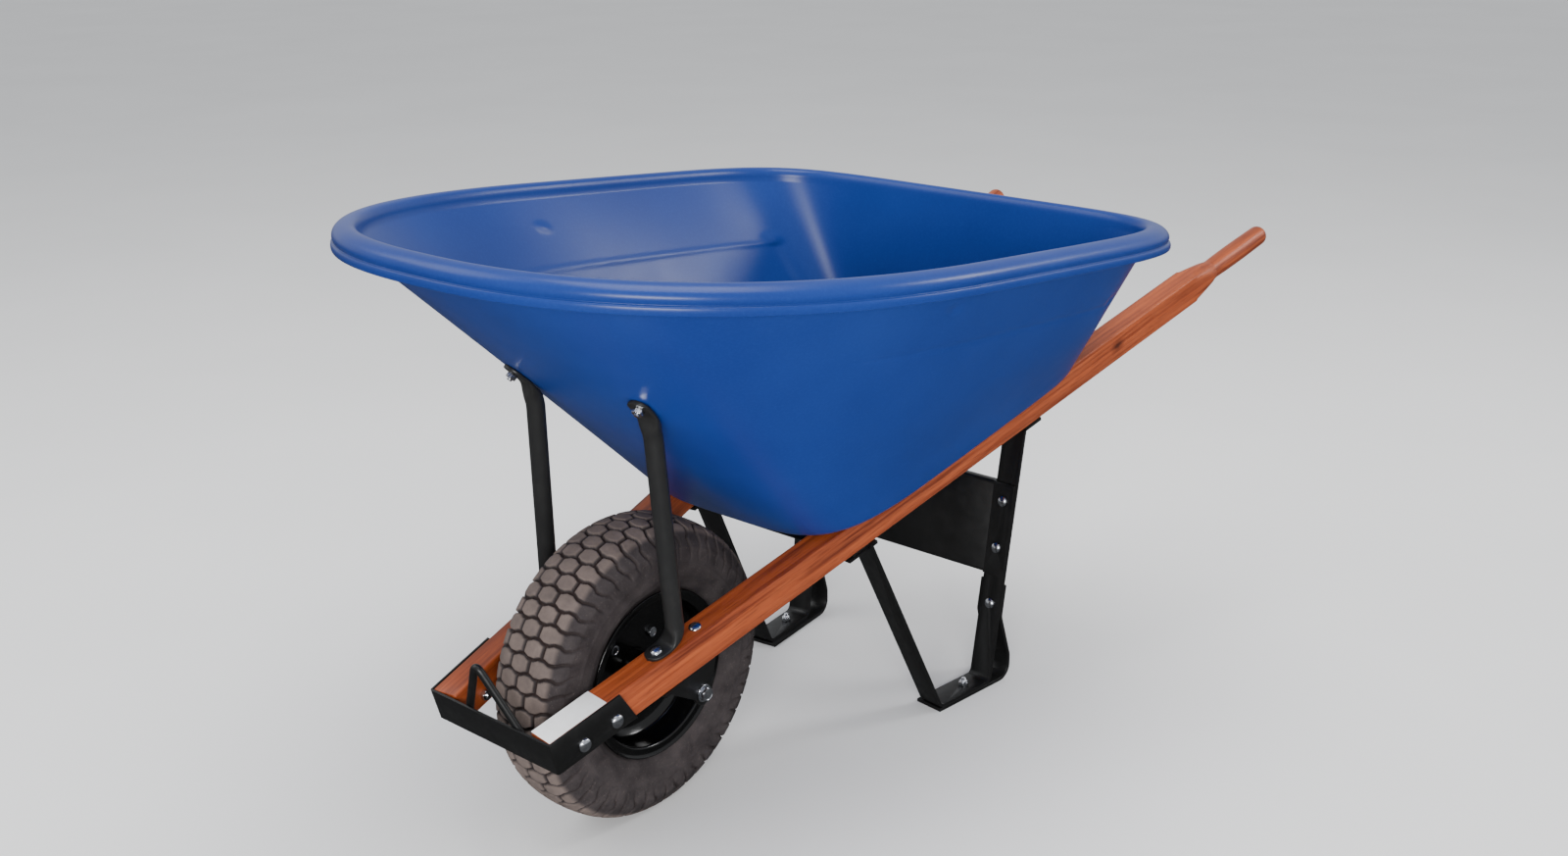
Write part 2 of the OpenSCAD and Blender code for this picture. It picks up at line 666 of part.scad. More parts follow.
module rim_half_shell(s) {
  section = [[0, hub_r], [0, disc_r + 4], [4, seat_r - 11], [10, seat_r - 2], [16, seat_r],
    [rim_half - 7.5, seat_r], [rim_half - 5.5, seat_r + 2], [rim_half - 5.5, rim_r - 4],
    [rim_half - 4, rim_r - 1], [rim_half - 1.6, rim_r], [rim_half, rim_r - 1.2],
    [rim_half - 1.2, rim_r - 2.8], [rim_half - 2.8, rim_r - 5.5], [rim_half - 3.2, seat_r],
    [rim_half - 5.5, seat_r - sheet], [18, seat_r - sheet - 0.2], [12.5, seat_r - 5],
    [6.8, seat_r - 13], [2.8, disc_r + 3], [sheet, disc_r], [sheet, hub_r]];
  color(black) difference() {
    spun(s) polygon(section);
    on_axle() for (i = [0:rim_bolts_n - 1]) rotate([0, 0, 45 + i * 360 / rim_bolts_n])
      translate([rim_bolt_r, 0, 0]) drill(4 + bolt_gap);
    if (s == RIGHT) on_valve() cylinder(r = 5.7, h = 60, center = true);
  }
}

module left_rim_half() rim_half_shell(LEFT);
module right_rim_half() rim_half_shell(RIGHT);

module on_rim_bolts() on_axle() for (i = [0:rim_bolts_n - 1])
  rotate([0, 0, 45 + i * 360 / rim_bolts_n]) translate([rim_bolt_r, 0, 0]) children();

module rim_bolts() color(zinc) on_rim_bolts() translate([0, 0, sheet]) hex_bolt(4, 2 * sheet + 9, 13, 5.3);
module rim_nuts() color(zinc) on_rim_bolts() translate([0, 0, -sheet]) nut(4, 13, 6.5);

module hub_tube() color(black) on_axle() translate([0, 0, -hub_x])
  washer(hub_r, 17.5, 2 * hub_x);

module bearing(s) color(zinc) spun(s) polygon([[hub_x - 11, axle_r + 0.06],
  [hub_x - 11, 17.45], [hub_x, 17.45], [hub_x, 20.5], [bearing_out - 0.5, 20.5],
  [bearing_out - 0.5, 13], [bearing_out, 12.5], [bearing_out, axle_r + 0.06]]);

module left_bearing() bearing(LEFT);
module right_bearing() bearing(RIGHT);

// Valve through the right half's drum, pointing at the axle
valve_turn = 200;
valve_x = -30;
module on_valve() on_axle() rotate([0, 0, valve_turn]) translate([seat_r, 0, valve_x])
  rotate([0, -90, 0]) children();

module valve_stem() color(rubber) on_valve() {
  translate([0, 0, -0.2]) cylinder(r = 5.4, h = 14);
  cylinder(r = 3.8, h = 24);
}
module valve_cap() color(black) on_valve() translate([0, 0, 24]) cylinder(r = 4.4, h = 9);

// --------------------------------------------------------------- assembly

// Half the overall length lies either side of the origin
front_most = tray_mid - tray_l / 2;
along = cos(handle_yaw) * cos(deck_pitch);
back_most = (end_s - end_round) * along + (neck_r * 0.62) * sqrt(1 - along * along) + end_round;
module centred() translate([0, -(front_most + back_most) / 2, 0]) children();

centred() tray();
centred() left_handle();
centred() right_handle();
centred() handle_label();
centred() nose_guard();
centred() tip_bar();
centred() left_tray_brace();
centred() right_tray_brace();
centred() left_axle_bracket();
centred() right_axle_bracket();
centred() axle();
centred() left_axle_spacer();
centred() right_axle_spacer();
centred() axle_end_bolts();
centred() axle_end_washers();
centred() left_leg();
centred() right_leg();
centred() left_leg_shoe();
centred() right_leg_shoe();
centred() leg_cross_plate();
centred() front_cross_strap();
centred() guard_bolts();
centred() guard_nuts();
centred() brace_foot_bolts();
centred() brace_foot_nuts();
centred() bracket_bolts();
centred() bracket_nuts();
centred() brace_top_bolts();
centred() brace_top_nuts();
centred() tray_bolts();
centred() tray_bolt_washers();
centred() tray_bolt_nuts();
centred() plate_bolts();
centred() plate_nuts();
centred() shoe_bolts();
centred() shoe_nuts();
centred() tyre();
centred() inner_tube();
centred() left_rim_half();
centred() right_rim_half();
centred() rim_bolts();
centred() rim_nuts();
centred() hub_tube();
centred() left_bearing();
centred() right_bearing();
centred() valve_stem();
centred() valve_cap();
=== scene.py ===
# Looks of the wheelbarrow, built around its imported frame. Metres, in the CAD's frame;
# lengths written in millimetres are multiplied by MM. +X is the left side, -Y the nose.
import bpy
import bmesh
import math
import numpy as np
from mathutils import Matrix, Vector

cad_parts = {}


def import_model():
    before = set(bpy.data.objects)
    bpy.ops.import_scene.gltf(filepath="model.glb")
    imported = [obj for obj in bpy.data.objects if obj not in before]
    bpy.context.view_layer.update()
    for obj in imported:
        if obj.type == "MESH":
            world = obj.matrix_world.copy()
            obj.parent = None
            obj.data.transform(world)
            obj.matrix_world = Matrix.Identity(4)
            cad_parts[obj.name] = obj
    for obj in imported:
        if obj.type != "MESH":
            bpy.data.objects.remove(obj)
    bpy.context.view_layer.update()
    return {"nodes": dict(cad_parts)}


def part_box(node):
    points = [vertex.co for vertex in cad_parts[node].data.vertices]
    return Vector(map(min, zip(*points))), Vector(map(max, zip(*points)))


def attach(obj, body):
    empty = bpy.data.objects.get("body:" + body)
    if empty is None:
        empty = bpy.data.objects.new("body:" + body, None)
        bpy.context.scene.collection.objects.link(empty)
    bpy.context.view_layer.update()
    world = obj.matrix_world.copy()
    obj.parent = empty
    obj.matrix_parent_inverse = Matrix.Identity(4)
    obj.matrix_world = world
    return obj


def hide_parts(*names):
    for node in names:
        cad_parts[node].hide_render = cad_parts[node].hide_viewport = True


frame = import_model()
MM = 0.001
SIDES = {"left": 1, "right": -1}
low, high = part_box("axle")
AXLE = (low + high) / 2


# ------------------------------------------------------------------ camera

IMAGE_W, IMAGE_H, SENSOR_W = 1600, 873, 36
CAMERA_TURN = (39.66, 20.0, -0.62)            # degrees round, up and rolled
CAMERA_AT = (1.40441, -1.30944, 1.20582)      # metres from the floor below the axle
FOCAL = 1667.85                               # with IMAGE_W as the picture's width
CENTRE_X, CENTRE_Y = 834.4, 445.1             # where the line of sight meets the picture


def camera():
    az, el, roll = (math.radians(v) for v in CAMERA_TURN)
    back = Vector((math.sin(az) * math.cos(el), -math.cos(az) * math.cos(el), math.sin(el)))
    right = Vector((math.cos(az), math.sin(az), 0))
    up = back.cross(right)
    r = right * math.cos(roll) + up * math.sin(roll)
    u = -right * math.sin(roll) + up * math.cos(roll)
    cam = bpy.data.cameras.new("camera")
    cam.sensor_width = SENSOR_W
    cam.lens = FOCAL * SENSOR_W / IMAGE_W
    cam.shift_x = (IMAGE_W / 2 - CENTRE_X) / IMAGE_W
    cam.shift_y = (CENTRE_Y - IMAGE_H / 2) / IMAGE_W
    cam.clip_end = 50
    o = bpy.data.objects.new("camera", cam)
    bpy.context.collection.objects.link(o)
    m = Matrix((r, u, back)).transposed().to_4x4()
    m.translation = Vector((CAMERA_AT[0], AXLE.y + CAMERA_AT[1], CAMERA_AT[2]))
    o.matrix_world = m
    bpy.context.scene.camera = o


# ----------------------------------------------------------- frames of the CAD

DECK_PITCH = math.radians(14.3)
DECK_Z = 265.2                                # a handle's centre line, where it passes the axle
HANDLE_X, HANDLE_YAW = 114.8, math.radians(6.56)
HALF_W, HALF_H = 19.0, 22.5                   # half of a handle's width and height
DECK = (Matrix.Translation((0, AXLE.y, DECK_Z * MM)) @ Matrix.Rotation(DECK_PITCH, 4, "X")
        @ Matrix.Scale(MM, 4))


def handle_frame(side):
    """Y along a handle's centre line, Z square to its top, in millimetres."""
    return (DECK @ Matrix.Translation((side * HANDLE_X, 0, 0))
            @ Matrix.Rotation(-side * HANDLE_YAW, 4, "Z"))


def placed(matrix, points):
    """Points moved by a matrix, as an array."""
    m = np.array(matrix)
    return np.asarray(points, float) @ m[:3, :3].T + m[:3, 3]


# ------------------------------------------------------------- mesh helpers

def shown(name, mesh, mat, body, node):
    """The smooth piece for a mesh, on its body, in the place of a CAD node."""
    o = bpy.data.objects.new(name, mesh)
    bpy.context.collection.objects.link(o)
    mesh.materials.append(mat)
    mesh.polygons.foreach_set("use_smooth", [True] * len(mesh.polygons))
    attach(o, body)
    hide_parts(node)
    return o


def piece(name, verts, faces, mat, body, node, sharp):
    """A piece from vertices and faces; edges over the sharp angle, in degrees, stay crisp."""
    mesh = bpy.data.meshes.new(name)
    mesh.from_pydata(np.asarray(verts).tolist(), [], faces)
    bm = bmesh.new()
    bm.from_mesh(mesh)
    bmesh.ops.recalc_face_normals(bm, faces=bm.faces)
    bm.to_mesh(mesh)
    bm.free()
    o = shown(name, mesh, mat, body, node)
    mesh.set_sharp_from_angle(angle=math.radians(sharp))
    return o


def loft(rings, loop=False):
    """Vertices and faces of a skin over rings with the same number of points. Its ends are
    closed, or joined to each other in a loop."""
    rings = np.asarray(rings, float)
    n, m = rings.shape[:2]
    faces = []
    for k in range(n if loop else n - 1):
        a, b = k * m, ((k + 1) % n) * m
        for i in range(m):
            j = (i + 1) % m
            faces.append((a + i, a + j, b + j, b + i))
    if not loop:
        faces += [tuple(range(m)), tuple(range((n - 1) * m, n * m))]
    return rings.reshape(-1, 3), faces


def joined(parts):
    """One list of vertices and faces from several."""
    verts, faces, at = [], [], 0
    for v, f in parts:
        verts.append(v)
        faces += [tuple(i + at for i in g) for g in f]
        at += len(v)
    return np.concatenate(verts), faces


def circle(steps):
    """Angles all round a circle."""
    return np.arange(steps) * 2 * math.pi / steps


def smoothstep(x):
    """Smooth rise from 0 to 1."""
    x = np.clip(x, 0, 1)
    return x * x * (3 - 2 * x)


def smooth_line(points, steps):
    """Catmull-Rom curve through the points."""
    p = np.asarray(points, float)
    n = len(p)
    out = []
    for i in range(n - 1):
        a, b, c, d = p[max(i - 1, 0)], p[i], p[i + 1], p[min(i + 2, n - 1)]
        for t in np.arange(steps) / steps:
            out.append(0.5 * (2 * b + (c - a) * t + (2 * a - 5 * b + 4 * c - d) * t * t
                              + (3 * b - a - 3 * c + d) * t ** 3))
    out.append(p[-1])
    return np.array(out)


def rounded(points, radius, steps, loop=True):
    """Path or polygon with each corner turned into an arc-like curve."""
    p = [np.asarray(q, float) for q in points]
    n = len(p)
    out = [] if loop else [p[0]]
    for i in range(n) if loop else range(1, n - 1):
        a, b, c = p[i - 1], p[i], p[(i + 1) % n]
        la, lc = np.linalg.norm(a - b), np.linalg.norm(c - b)
        cut = min(radius, la * 0.45, lc * 0.45)
        s, e = b + (a - b) / la * cut, b + (c - b) / lc * cut
        for t in np.linspace(0, 1, steps + 1):
            out.append(s * (1 - t) ** 2 + b * 2 * t * (1 - t) + e * t * t)
    if not loop:
        out.append(p[-1])
    return np.array(out)


def swept(path, sections, wide):
    """Tube along a path. sections gives each point's (half width, half thickness, power)."""
    path, wide = np.asarray(path, float), np.asarray(wide, float)
    tangent = np.gradient(path, axis=0)
    tangent /= np.linalg.norm(tangent, axis=1)[:, None]
    rings = []
    a = np.arange(0, 2 * math.pi, 2 * math.pi / 32)
    c, s = np.cos(a), np.sin(a)
    for p, t, (w, h, power), side in zip(path, tangent, sections, wide):
        x = side - t * side.dot(t)
        x /= np.linalg.norm(x)
        y = np.cross(t, x)
        k = (np.abs(c) ** power + np.abs(s) ** power) ** (-1 / power)
        rings.append(p + np.outer(c * k * w, x) + np.outer(s * k * h, y))
    return loft(rings)


def level(radius, a, z):
    """Ring of points at one height; the radius may vary with the angles a."""
    return np.stack([radius * np.cos(a), radius * np.sin(a), np.full(len(a), z)], -1)


def revolved(profile):
    """Solid of revolution about Z from an open (r, z) profile, closed at both ends."""
    a = circle(48)
    return loft([level(r, a, z) for r, z in profile])


def turned(section):
    """Ring of revolution about the axle from a closed (x, r) section, in metres."""
    a = circle(160)
    rings = [np.stack([np.full(len(a), x), r * np.cos(a), r * np.sin(a)], -1)
             for x, r in section]
    v, f = loft(rings, loop=True)
    return v * MM + np.array(AXLE), f


WELD = 2e-6                                   # metres
FLAT_ANGLE, EDGE_ANGLE = math.radians(0.6), math.radians(40)


def softened(node, mat, edge=0.6, body="chassis"):
    """A piece of the CAD node's shape with its edges eased by a bevel, in millimetres."""
    mesh = bpy.data.meshes.new(node)
    bm = bmesh.new()
    bm.from_mesh(frame["nodes"][node].data)
    bmesh.ops.remove_doubles(bm, verts=bm.verts, dist=WELD)
    bmesh.ops.dissolve_limit(bm, angle_limit=FLAT_ANGLE, verts=bm.verts, edges=bm.edges)
    bmesh.ops.recalc_face_normals(bm, faces=bm.faces)
    bm.to_mesh(mesh)
    bm.free()
    o = shown(node, mesh, mat, body, node)
    bevel = o.modifiers.new("edge", "BEVEL")
    bevel.width = edge * MM
    bevel.segments = 2
    bevel.limit_method = "ANGLE"
    bevel.angle_limit = EDGE_ANGLE
    bevel.harden_normals = True


# ---------------------------------------------------------------- materials

class Shader:
    """A procedural material on one Principled shader, in the piece's own coordinates or in
    those that its grain attribute holds."""

    def __init__(self, name, roughness, metallic=0.0, specular=0.5, coat=0.0,
                 coat_roughness=0.1, grain=False):
        self.mat = bpy.data.materials.new(name)
        self.mat.use_nodes = True
        self.tree = self.mat.node_tree
        self.main = self.tree.nodes["Principled BSDF"]
        self.put("Roughness", roughness)
        self.put("Metallic", metallic)
        self.put("Specular IOR Level", specular)
        self.put("Coat Weight", coat)
        self.put("Coat Roughness", coat_roughness)
        self.where = self.tree.nodes.new("ShaderNodeTexCoord").outputs["Object"]
        if grain:
            self.where = self.attribute("grain").outputs["Vector"]
        self.normal = None

    def feed(self, node, key, value):
        """Links an output to a node's input, or sets the input to a constant."""
        if hasattr(value, "is_output"):
            self.tree.links.new(value, node.inputs[key])
        else:
            node.inputs[key].default_value = value

    def put(self, socket, value):
        self.feed(self.main, socket, value)

    def add(self, kind, links, **settings):
        n = self.tree.nodes.new(kind)
        for key, value in settings.items():
            setattr(n, key, value)
        for key, value in links.items():
            self.feed(n, key, value)
        return n

    def attribute(self, name):
        return self.add("ShaderNodeAttribute", {}, attribute_name=name)

    def vector(self, operation, a, b):
        return self.add("ShaderNodeVectorMath", {0: a, 1: b}, operation=operation).outputs[0]

    def stretched(self, x, y, z):
        return self.add("ShaderNodeMapping", {"Vector": self.where, "Scale": (x, y, z)}).outputs[0]

    def noise(self, scale, detail, vector=None, distortion=0.0, rough=0.55):
        return self.add("ShaderNodeTexNoise", {
            "Vector": vector or self.where, "Scale": scale, "Detail": detail,
            "Roughness": rough, "Distortion": distortion}).outputs["Fac"]

    def range(self, value, low, high, out_low=0.0, out_high=1.0):
        n = self.add("ShaderNodeMapRange", {"Value": value, "From Min": low, "From Max": high,
                                            "To Min": out_low, "To Max": out_high})
        n.clamp = True
        return n.outputs["Result"]

    def mix(self, factor, a, b):
        """Colour between a and b; 0, 6 and 7 are the mix node's sockets for colours."""
        return self.add("ShaderNodeMix", {0: factor, 6: a, 7: b}, data_type="RGBA").outputs[2]

    def bump(self, height, distance, strength):
        links = {"Height": height, "Distance": distance, "Strength": strength}
        if self.normal is not None:
            links["Normal"] = self.normal
        self.normal = self.add("ShaderNodeBump", links).outputs[0]
        self.put("Normal", self.normal)

    def colour(self, value):
        self.put("Base Color", value)


def srgb(r, g, b):
    """Linear colour of an sRGB one."""
    return tuple(c / 12.92 if c <= 0.04045 else ((c + 0.055) / 1.055) ** 2.4
                 for c in (r / 255, g / 255, b / 255)) + (1.0,)


def blue_plastic():
    s = Shader("blue_polyethylene", 0.28, specular=0.3)
    broad = s.noise(3.0, 3)
    specks = s.noise(260.0, 4, rough=0.7)
    body = s.mix(s.range(broad, 0.3, 0.7), srgb(17, 44, 112), srgb(23, 53, 124))
    s.colour(s.mix(s.range(specks, 0.45, 0.85, 0.0, 0.25), body, srgb(40, 76, 146)))
    s.put("Roughness", s.range(s.noise(9.0, 5), 0.3, 0.7, 0.29, 0.34))
    s.bump(s.noise(420.0, 2), 0.00012, 0.3)
    s.bump(s.noise(9.0, 2), 0.0014, 0.2)
    return s.mat


GRAIN_APART = 0.3                             # metres between the handles in the grain's space
KNOT = (GRAIN_APART + 0.019, 0.86, 0.002)     # on the left handle's outer face


def timber():
    s = Shader("varnished_timber", 0.42, specular=0.3, coat=0.1, coat_roughness=0.3, grain=True)
    warp = s.noise(1.0, 3, s.stretched(16, 1.4, 16))
    ringed = s.vector("ADD", s.stretched(46, 1.1, 46), warp)
    bands = s.noise(1.7, 5, ringed, 0.5, 0.62)
    streaks = s.noise(1.0, 6, s.stretched(240, 6, 240), 0.2, 0.7)
    pores = s.noise(1.0, 3, s.stretched(800, 24, 800), 0.0, 0.6)
    base = s.mix(s.range(bands, 0.36, 0.62), srgb(92, 33, 15), srgb(156, 72, 35))
    base = s.mix(s.range(streaks, 0.42, 0.72, 0.0, 0.6), base, srgb(178, 90, 46))
    base = s.mix(s.range(pores, 0.56, 0.7, 0.0, 0.65), base, srgb(66, 24, 13))
    place = s.vector("SUBTRACT", s.where, KNOT)
    oval = s.vector("MULTIPLY", place, (1.0, 0.55, 1.0))
    knot = s.add("ShaderNodeVectorMath", {0: oval}, operation="LENGTH").outputs["Value"]
    base = s.mix(s.range(knot, 0.002, 0.011, 0.85, 0.0), base, srgb(54, 20, 12))
    s.colour(base)
    s.put("Roughness", s.range(streaks, 0.3, 0.7, 0.36, 0.52))
    s.bump(pores, 0.0004, 0.35)
    s.bump(bands, 0.0010, 0.25)
    return s.mat


def painted_steel(name, roughness, grey, specular):
    s = Shader(name, roughness, specular=specular)
    dust = s.noise(26.0, 6, rough=0.7)
    s.colour(s.mix(s.range(dust, 0.5, 0.78, 0.0, 0.5), srgb(grey, grey, grey),
                   srgb(grey + 14, grey + 13, grey + 12)))
    s.put("Roughness", s.range(s.noise(60.0, 4), 0.3, 0.7, roughness - 0.05, roughness + 0.08))
    s.bump(s.noise(700.0, 2), 0.0001, 0.35)
    s.bump(s.noise(90.0, 2), 0.0004, 0.2)
    return s.mat


def zinc_plate():
    s = Shader("bright_zinc", 0.24, metallic=1.0)
    patches = s.noise(160.0, 4)
    s.colour(s.mix(s.range(patches, 0.35, 0.7), srgb(214, 216, 220), srgb(176, 178, 186)))
    s.put("Roughness", s.range(s.noise(500.0, 3), 0.3, 0.7, 0.16, 0.26))
    s.bump(s.noise(900.0, 2), 0.00008, 0.4)
    return s.mat


def turned_steel():
    s = Shader("turned_steel", 0.3, metallic=1.0)
    lines = s.noise(1.0, 3, s.stretched(1500, 60, 60))
    s.colour(s.mix(s.range(lines, 0.35, 0.65), srgb(170, 171, 174), srgb(128, 129, 132)))
    s.put("Roughness", s.range(lines, 0.3, 0.7, 0.24, 0.4))
    s.bump(lines, 0.0001, 0.4)
    return s.mat


def tyre_rubber():
    s = Shader("tyre_rubber", 0.8, specular=0.22)
    height = s.attribute("tread").outputs["Fac"]
    dust = s.noise(34.0, 6, rough=0.65)
    grit = s.noise(520.0, 3)
    wall = s.mix(s.range(dust, 0.35, 0.7), srgb(44, 39, 40), srgb(64, 58, 58))
    top = s.mix(s.range(dust, 0.3, 0.7), srgb(86, 76, 72), srgb(112, 99, 93))
    base = s.mix(s.range(height, 0.45, 0.95), wall, top)
    # The grooves are painted darker than the side wall: painted shade in the tread's recesses. The
    # lighter block tops are dust.
    base = s.mix(s.range(height, 0.0, 0.42, 1.0, 0.0), base, srgb(38, 27, 25))
    s.colour(s.mix(s.range(grit, 0.62, 0.75, 0.0, 0.3), base, srgb(128, 116, 108)))
    s.put("Roughness", s.range(dust, 0.3, 0.7, 0.68, 0.9))
    s.bump(grit, 0.0004, 0.4)
    return s.mat


def dark_rubber(name, grey, roughness):
    s = Shader(name, roughness, specular=0.35)
    s.colour(s.mix(s.range(s.noise(70.0, 5), 0.35, 0.7), srgb(grey, grey, grey),
                   srgb(grey + 16, grey + 15, grey + 14)))
    s.bump(s.noise(900.0, 2), 0.0001, 0.4)
    return s.mat


def label_film():
    s = Shader("plain_label", 0.45, specular=0.4)
    s.colour(s.mix(s.range(s.noise(60.0, 5), 0.35, 0.75), srgb(250, 250, 249),
                   srgb(240, 239, 236)))
    s.bump(s.noise(240.0, 3), 0.0001, 0.3)
    return s.mat


def floor_paint():
    s = Shader("pale_floor", 0.7, specular=0.2)
    s.colour(s.mix(s.range(s.noise(1.5, 3), 0.3, 0.7), srgb(236, 236, 236), srgb(240, 240, 240)))
    return s.mat


# --------------------------------------------------------------------- tray

TRAY_W, TRAY_L, TRAY_T = 816.0, 1064.0, 5.0
TRAY_MID, RIM_Z, RIM_FALL = 243.0, 727.5, math.radians(5.54)
RIM_POWERS, FLOOR_POWERS = (2.4, 6), (4.6, 8)     # outline powers, front and back
FLOOR_Y, FLOOR_L, FLOOR_W = 484.0, 276.0, 213.0   # along the deck: middle, half sizes
FLOOR_SPREAD = 26.0                               # wider by this at the back
BEND_RUN, WALL_RUN = 16.0, 560.0                  # floor's bend, and the wall above it
LIP_IN, LIP_DROP, LIP_STEP = 27.0, -4, 6          # where the wall meets the lip
# The lip's section as (inset, height), from under its outer side over to the inner wall.
LIP = [(26, 5), (22, 12), (15, 14), (9.5, 10), (7, 2), (6, -5), (5, -9), (3, -10.5),
       (1.1, -9.7), (0.2, -7), (0.3, -3.5), (1.2, -0.6), (3.3, 0.8), (3.2, 2.6), (2.3, 5.5),
       (3, 10), (5.5, 14.5), (10, 18.5), (16, 21.2), (22, 22), (27.5, 19.8), (30.5, 14),
       (31.5, 9)]
# A side panel's limits in degrees round the tray, its crease's drop and how far it bulges.
PANEL_BACK, PANEL_FRONT, PANEL_DROP, PANEL_OUT = 40.0, -31.0, 92.0, 5.0
PANEL_RUN, PANEL_LOW, PANEL_RISE = 38, 0.12, 0.33
BACK_EDGE, FRONT_EDGE, MM_PER_DEGREE = 2.0, 9.0, 5.0
GROOVE, GROOVE_RUN = 0.9, 4
# Dimples in the side walls: depth, degrees round, drop below the rim, radius.
DIMPLES = ((4.0, PANEL_BACK - 1, PANEL_DROP - 6, 14), (2.2, -8, 37, 10))
TRAY_STEPS, TRAY_LEVELS, BEND_LEVELS = 512, 90, 9


def outline(a, powers):
    """Unit outline by direction, with one power for the front half and one for the back."""
    n = np.where(np.sin(a) < 0, *powers)
    k = (np.abs(np.cos(a)) ** n + np.abs(np.sin(a)) ** n) ** (-1 / n)
    return k * np.cos(a), k * np.sin(a)


def rim_point(a, inset, up):
    """Point in from the rim's outline and up from its plane."""
    x, y = outline(a, RIM_POWERS)
    long = TRAY_L / 2 - inset
    return np.stack([(TRAY_W / 2 - inset) * x, TRAY_MID + long * y,
                     RIM_Z + up - math.tan(RIM_FALL) * long * y], -1)


def floor_point(a, inset, v):
    """Point in from the floor's outline, at a height v square to the deck."""
    x, y = outline(a, FLOOR_POWERS)
    across = (FLOOR_W + FLOOR_SPREAD * y - inset) * x
    along = FLOOR_Y + (FLOOR_L - inset) * y
    c, s = math.cos(DECK_PITCH), math.sin(DECK_PITCH)
    return np.stack([across, along * c - v * s, DECK_Z + along * s + v * c + 0 * across], -1)


def wall_point(a, f, inner):
    """Point on the outer (inner = 0) or inner (1) wall, f of the way from floor to lip."""
    bottom = floor_point(a, inner * TRAY_T * 0.6, HALF_H + inner * TRAY_T)
    top = rim_point(a, LIP_IN + inner * TRAY_T, LIP_DROP + inner * LIP_STEP)
    return bottom + (top - bottom) * f


def bend_point(a, f, inner):
    """Point on the bend between floor and wall."""
    p0 = floor_point(a, BEND_RUN, HALF_H + inner * TRAY_T)
    p1, p2 = wall_point(a, 0, inner), wall_point(a, BEND_RUN / WALL_RUN, inner)
    return p0 * (1 - f) ** 2 + p1 * 2 * f * (1 - f) + p2 * f * f


def world(points):
    """Millimetres from the axle's plane to metres in the part's frame."""
    return np.asarray(points) * MM + np.array((0, AXLE.y, 0))


def crease(a, f, inner):
    """How far the wall stands in, in mm. Below a crease parallel to the rim each side wall
    bulges, back to an upright crease near the corner, with a dimple where they meet."""
    p = wall_point(a, f, inner)
    under = RIM_Z - math.tan(RIM_FALL) * (p[:, 1] - TRAY_MID) - p[:, 2]
    turn = np.degrees(np.arctan2(np.sin(a), np.abs(np.cos(a))))
    within = (smoothstep((PANEL_BACK - turn) / BACK_EDGE)
              * smoothstep((turn - PANEL_FRONT) / FRONT_EDGE))
    depth = np.clip(under - PANEL_DROP, 0, None)
    edge = smoothstep((under - PANEL_DROP + GROOVE_RUN) / GROOVE_RUN)
    total = (-PANEL_OUT * (1 - np.exp(-depth / PANEL_RUN)) * within
             * smoothstep((f - PANEL_LOW) / PANEL_RISE))
    total += GROOVE * np.exp(-(depth / GROOVE_RUN) ** 2) * edge * within
    for deep, at, drop, size in DIMPLES:
        away = np.hypot((turn - at) * MM_PER_DEGREE, under - drop)
        total += deep * smoothstep(1 - away / size)
    return total


def tray(mat):
    a = circle(TRAY_STEPS)
    levels = np.linspace(0.1, 1, TRAY_LEVELS)
    inward = np.stack([-np.cos(a), -np.sin(a), 0 * a], -1)
    outer = [bend_point(a, f, 0) for f in np.linspace(0, 1, BEND_LEVELS)]
    outer += [wall_point(a, f, 0) + inward * crease(a, f, 0)[:, None] for f in levels]
    lip = [rim_point(a, max(p[0], 0), p[1]) for p in smooth_line(LIP, 4)]
    inner = [wall_point(a, f, 1) + inward * crease(a, f, 1)[:, None] for f in levels[::-1]]
    inner += [bend_point(a, f, 1) for f in np.linspace(1, 0, BEND_LEVELS)]
    v, f = loft(outer + lip + inner)
    piece("tray_shell", world(v), f, mat, "chassis", "tray", 60)


# ------------------------------------------------------------------ handles

FRONT_S, END_S = -237.0, 1287.0               # the handle's ends along its centre line
SQUARE_S, NECK_S = END_S - 215, END_S - 146   # the taper to the grip
NECK_R, GRIP_R, END_ROUND = 15.8, 16.8, 12.0
EDGE_R, FRONT_CHAMFER = 3.0, 0.9
# How the square is turned down to the neck: (distance along, radius).
TAPER = [(FRONT_S, 40), (SQUARE_S - 8, 40), (SQUARE_S, HALF_H + 4), (SQUARE_S + 24, NECK_R + 7.4),
         (SQUARE_S + 46, NECK_R + 4), (NECK_S - 8, NECK_R + 0.4), (NECK_S, NECK_R)]


def timber_section():
    """Points round the square timber, with rounded edges and its long sides divided."""
    corners = [(HALF_W, HALF_H), (-HALF_W, HALF_H), (-HALF_W, -HALF_H), (HALF_W, -HALF_H)]
    section = []
    for i, (cx, cz) in enumerate(corners):
        nx, nz = corners[(i + 1) % 4]
        sx, sz = math.copysign(EDGE_R, cx), math.copysign(EDGE_R, cz)
        start = math.atan2(cz, cx) // (math.pi / 2) * math.pi / 2
        for t in np.linspace(start, start + math.pi / 2, 5):
            section.append((cx - sx + EDGE_R * math.cos(t), cz - sz + EDGE_R * math.sin(t)))
        a, b = np.array(section[-1]), np.array((nx, nz))
        lengthwise = np.abs(b - a) > 2 * EDGE_R
        for t in (0.2, 0.4, 0.6, 0.8):
            section.append(a + (b - np.sign(b - a) * EDGE_R * lengthwise - a) * t * lengthwise)
    return np.array(section)


